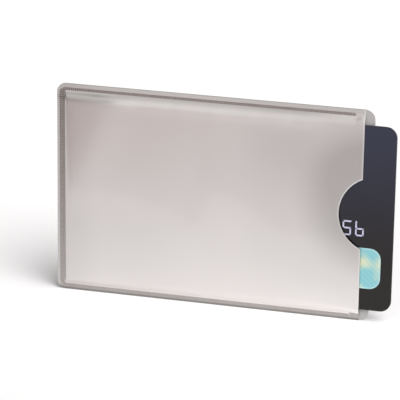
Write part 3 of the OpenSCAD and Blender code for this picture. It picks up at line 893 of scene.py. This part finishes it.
def add_stroke(verts, faces, start, end, rings, face_y):
    """Adds a bar with round ends from start to end, made of rings of (radius, height above the face)."""
    heading = math.atan2(end.y - start.y, end.x - start.x)
    base = len(verts)
    for radius, up in rings:
        for centre, turn in ((end, -math.pi / 2), (start, math.pi / 2)):
            for step in range(END_STEPS):
                way = heading + turn + math.pi * step / (END_STEPS - 1)
                spot = centre + radius * Vector((math.cos(way), math.sin(way)))
                verts.append((spot.x, face_y - up, spot.y))
    around = 2 * END_STEPS
    for ring in range(len(rings) - 1):
        lower = base + ring * around
        upper = lower + around
        for step in range(around):
            after = (step + 1) % around
            faces.append((lower + step, lower + after, upper + after, upper + step))
    top = base + (len(rings) - 1) * around
    faces.append(tuple(range(top, top + around)))
    faces.append(tuple(range(base + around - 1, base - 1, -1)))


class CARDSLEEVE_OT_card_number(bpy.types.Operator):
    """Make the raised number with its silver tipping"""

    bl_idname = "card_sleeve.card_number"
    bl_label = "Raised number"

    def execute(self, context):
        card = context.scene.sleeve_card
        low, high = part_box("embossed_digits")
        number = "1234 5678 9012 3456"
        half = card.stroke_w / 2
        wide, tall = card.digit_w - 2 * half, (high.z - low.z) / 2 - half
        first = high.x - card.digit_w - (len(number) - 1) * card.digit_pitch
        rise = high.y - low.y
        # Shares of half a stroke's width, and heights, from just inside the card to the digit's top
        shares = (1.0, 1.0, 0.97, 0.88, 0.72)
        heights = (-0.03 * MM, 0.45 * rise, 0.75 * rise, 0.93 * rise, rise)
        rings = [(half * part, up) for part, up in zip(shares, heights)]
        verts, faces = [], []
        for i, digit in enumerate(number):
            if digit == " ":
                continue
            corner = Vector((first + i * card.digit_pitch + half, low.z + half))
            for letter in STROKES[int(digit)]:
                start, end = (corner + Vector((x * wide, z * tall)) for x, z in STROKE_ENDS[letter])
                add_stroke(verts, faces, start, end, rings, high.y)
        piece = put_mesh("raised_number", verts, faces, 50)
        finish_piece(piece, "card", "digit_silver", tipped_plastic(card), "embossed_digits")
        return {"FINISHED"}


class CARDSLEEVE_OT_card_fittings(bpy.types.Operator):
    """Dress the chip, its contacts, the foil patch, the magnetic stripe and the signature panel"""

    bl_idname = "card_sleeve.card_fittings"
    bl_label = "Card fittings"

    def execute(self, context):
        card = context.scene.sleeve_card
        # The resin is black and half matt, as it comes from the mould
        resin = plain_plastic("moulded_epoxy_resin", linear("1C1B1A"), linear("121211"), 0.2, 0.5)
        dress(resin, "chip_module")
        # The contacts are bright warm gold, slightly clouded by the plating bath
        dress(plain_metal("plated_gold_contacts", "F0CB72", "DDB257", 0.7, 0.26), "contact_pads")
        dress(hot_stamped_foil(card), "foil_patch")
        # The stripe is very dark brown with a low sheen
        stripe = plain_plastic("magnetic_oxide_coating", linear("2A2220"), linear("1F1917"), 0.4, 0.33)
        dress(stripe, "magnetic_stripe")
        dress(signature_coating(), "signature_panel")
        return {"FINISHED"}


class CARDSLEEVE_OT_stage(bpy.types.Operator):
    """Make the camera, the lamps, the sky and the floor"""

    bl_idname = "card_sleeve.stage"
    bl_label = "Stage"

    def execute(self, context):
        scene, studio = context.scene, context.scene.sleeve_studio
        scene.view_settings.view_transform = "Standard"

        camera = put("camera", bpy.data.cameras.new("camera"))
        camera.data.lens = studio.lens
        camera.data.sensor_width = 36
        turn = (
            Matrix.Rotation(studio.azimuth, 4, "Z")
            @ Matrix.Rotation(math.pi / 2 - studio.elevation, 4, "X")
            @ Matrix.Rotation(studio.roll, 4, "Z")
        )
        stand = Vector(studio.aim) + turn.col[2].to_3d() * studio.distance
        camera.matrix_world = Matrix.Translation(stand) @ turn
        scene.camera = camera

        # A broad even key light from the right, 60 degrees round and 50 degrees up, which lays the soft
        # shadow to the left behind the sleeve
        to_key = Vector((0.56, -0.32, 0.77))
        lamp = bpy.data.lights.new("key", "SUN")
        lamp.energy = studio.key
        lamp.angle = studio.key_width
        put("key", lamp).matrix_world = to_key.to_track_quat("Z", "Y").to_matrix().to_4x4()

        # A dim room with a pale screen in front, 5 degrees to the left and 22 degrees up. Its light fades
        # between 20 and 44 degrees from its middle, which are the angles of these two cosines
        to_screen = (-0.081, -0.924, 0.375)
        outer, inner = 0.72, 0.94
        world = bpy.data.worlds.new("studio")
        world.use_nodes = True
        world.node_tree.nodes.clear()
        add = adder(world.node_tree)
        way = add("ShaderNodeTexCoord").outputs["Generated"]
        near = add("ShaderNodeVectorMath", {0: way, 1: to_screen}, operation="DOT_PRODUCT")
        ends = {1: outer, 2: inner, 3: studio.sky, 4: studio.sky + studio.screen}
        screen = add("ShaderNodeMapRange", {"Value": near.outputs["Value"]} | ends, **SMOOTH)
        light = add("ShaderNodeBackground", {"Color": linear("FFFDFC"), "Strength": screen})
        add("ShaderNodeOutputWorld", {"Surface": light})
        scene.world = world

        # A floor that reaches 3 m to every side
        mesh = bpy.data.meshes.new("floor")
        reach = 3.0
        corners = [(-reach, -reach, 0), (reach, -reach, 0), (reach, reach, 0), (-reach, reach, 0)]
        mesh.from_pydata(corners, [], [(0, 1, 2, 3)])
        mesh.materials.append(studio_paper(studio))
        floor = put("floor", mesh)
        return {"FINISHED"}


class CARDSLEEVE_PT_pieces(bpy.types.Panel):
    """The sleeve's settings and its operators, in the order in which they run"""

    bl_idname = "CARDSLEEVE_PT_pieces"
    bl_label = "Card sleeve"
    bl_space_type = "VIEW_3D"
    bl_region_type = "UI"
    bl_category = "Card sleeve"

    def draw(self, context):
        for title, group in GROUPS.items():
            box = self.layout.box()
            box.label(text=title.split("_")[1].capitalize())
            for name in group.__annotations__:
                box.prop(getattr(context.scene, title), name)
        for operator in OPERATORS:
            self.layout.operator(operator.bl_idname)


GROUPS = {
    "sleeve_film": FilmSettings,
    "sleeve_weld": WeldSettings,
    "sleeve_card": CardSettings,
    "sleeve_studio": StudioSettings,
}
OPERATORS = (
    CARDSLEEVE_OT_stage,
    CARDSLEEVE_OT_front_sheet,
    CARDSLEEVE_OT_back_sheet,
    CARDSLEEVE_OT_weld_ribs,
    CARDSLEEVE_OT_card_layers,
    CARDSLEEVE_OT_card_number,
    CARDSLEEVE_OT_card_fittings,
)


def register():
    for title, group in GROUPS.items():
        bpy.utils.register_class(group)
        setattr(bpy.types.Scene, title, bpy.props.PointerProperty(type=group))
    for item in (*OPERATORS, CARDSLEEVE_PT_pieces):
        bpy.utils.register_class(item)


def unregister():
    for item in reversed((*OPERATORS, CARDSLEEVE_PT_pieces)):
        bpy.utils.unregister_class(item)
    for title, group in reversed(GROUPS.items()):
        delattr(bpy.types.Scene, title)
        bpy.utils.unregister_class(group)


def main():
    register()
    bpy.ops.card_sleeve.stage()
    bpy.ops.card_sleeve.front_sheet()
    bpy.ops.card_sleeve.back_sheet()
    bpy.ops.card_sleeve.weld_ribs()
    bpy.ops.card_sleeve.card_layers()
    bpy.ops.card_sleeve.card_number()
    bpy.ops.card_sleeve.card_fittings()


if __name__ == "__main__":
    main()
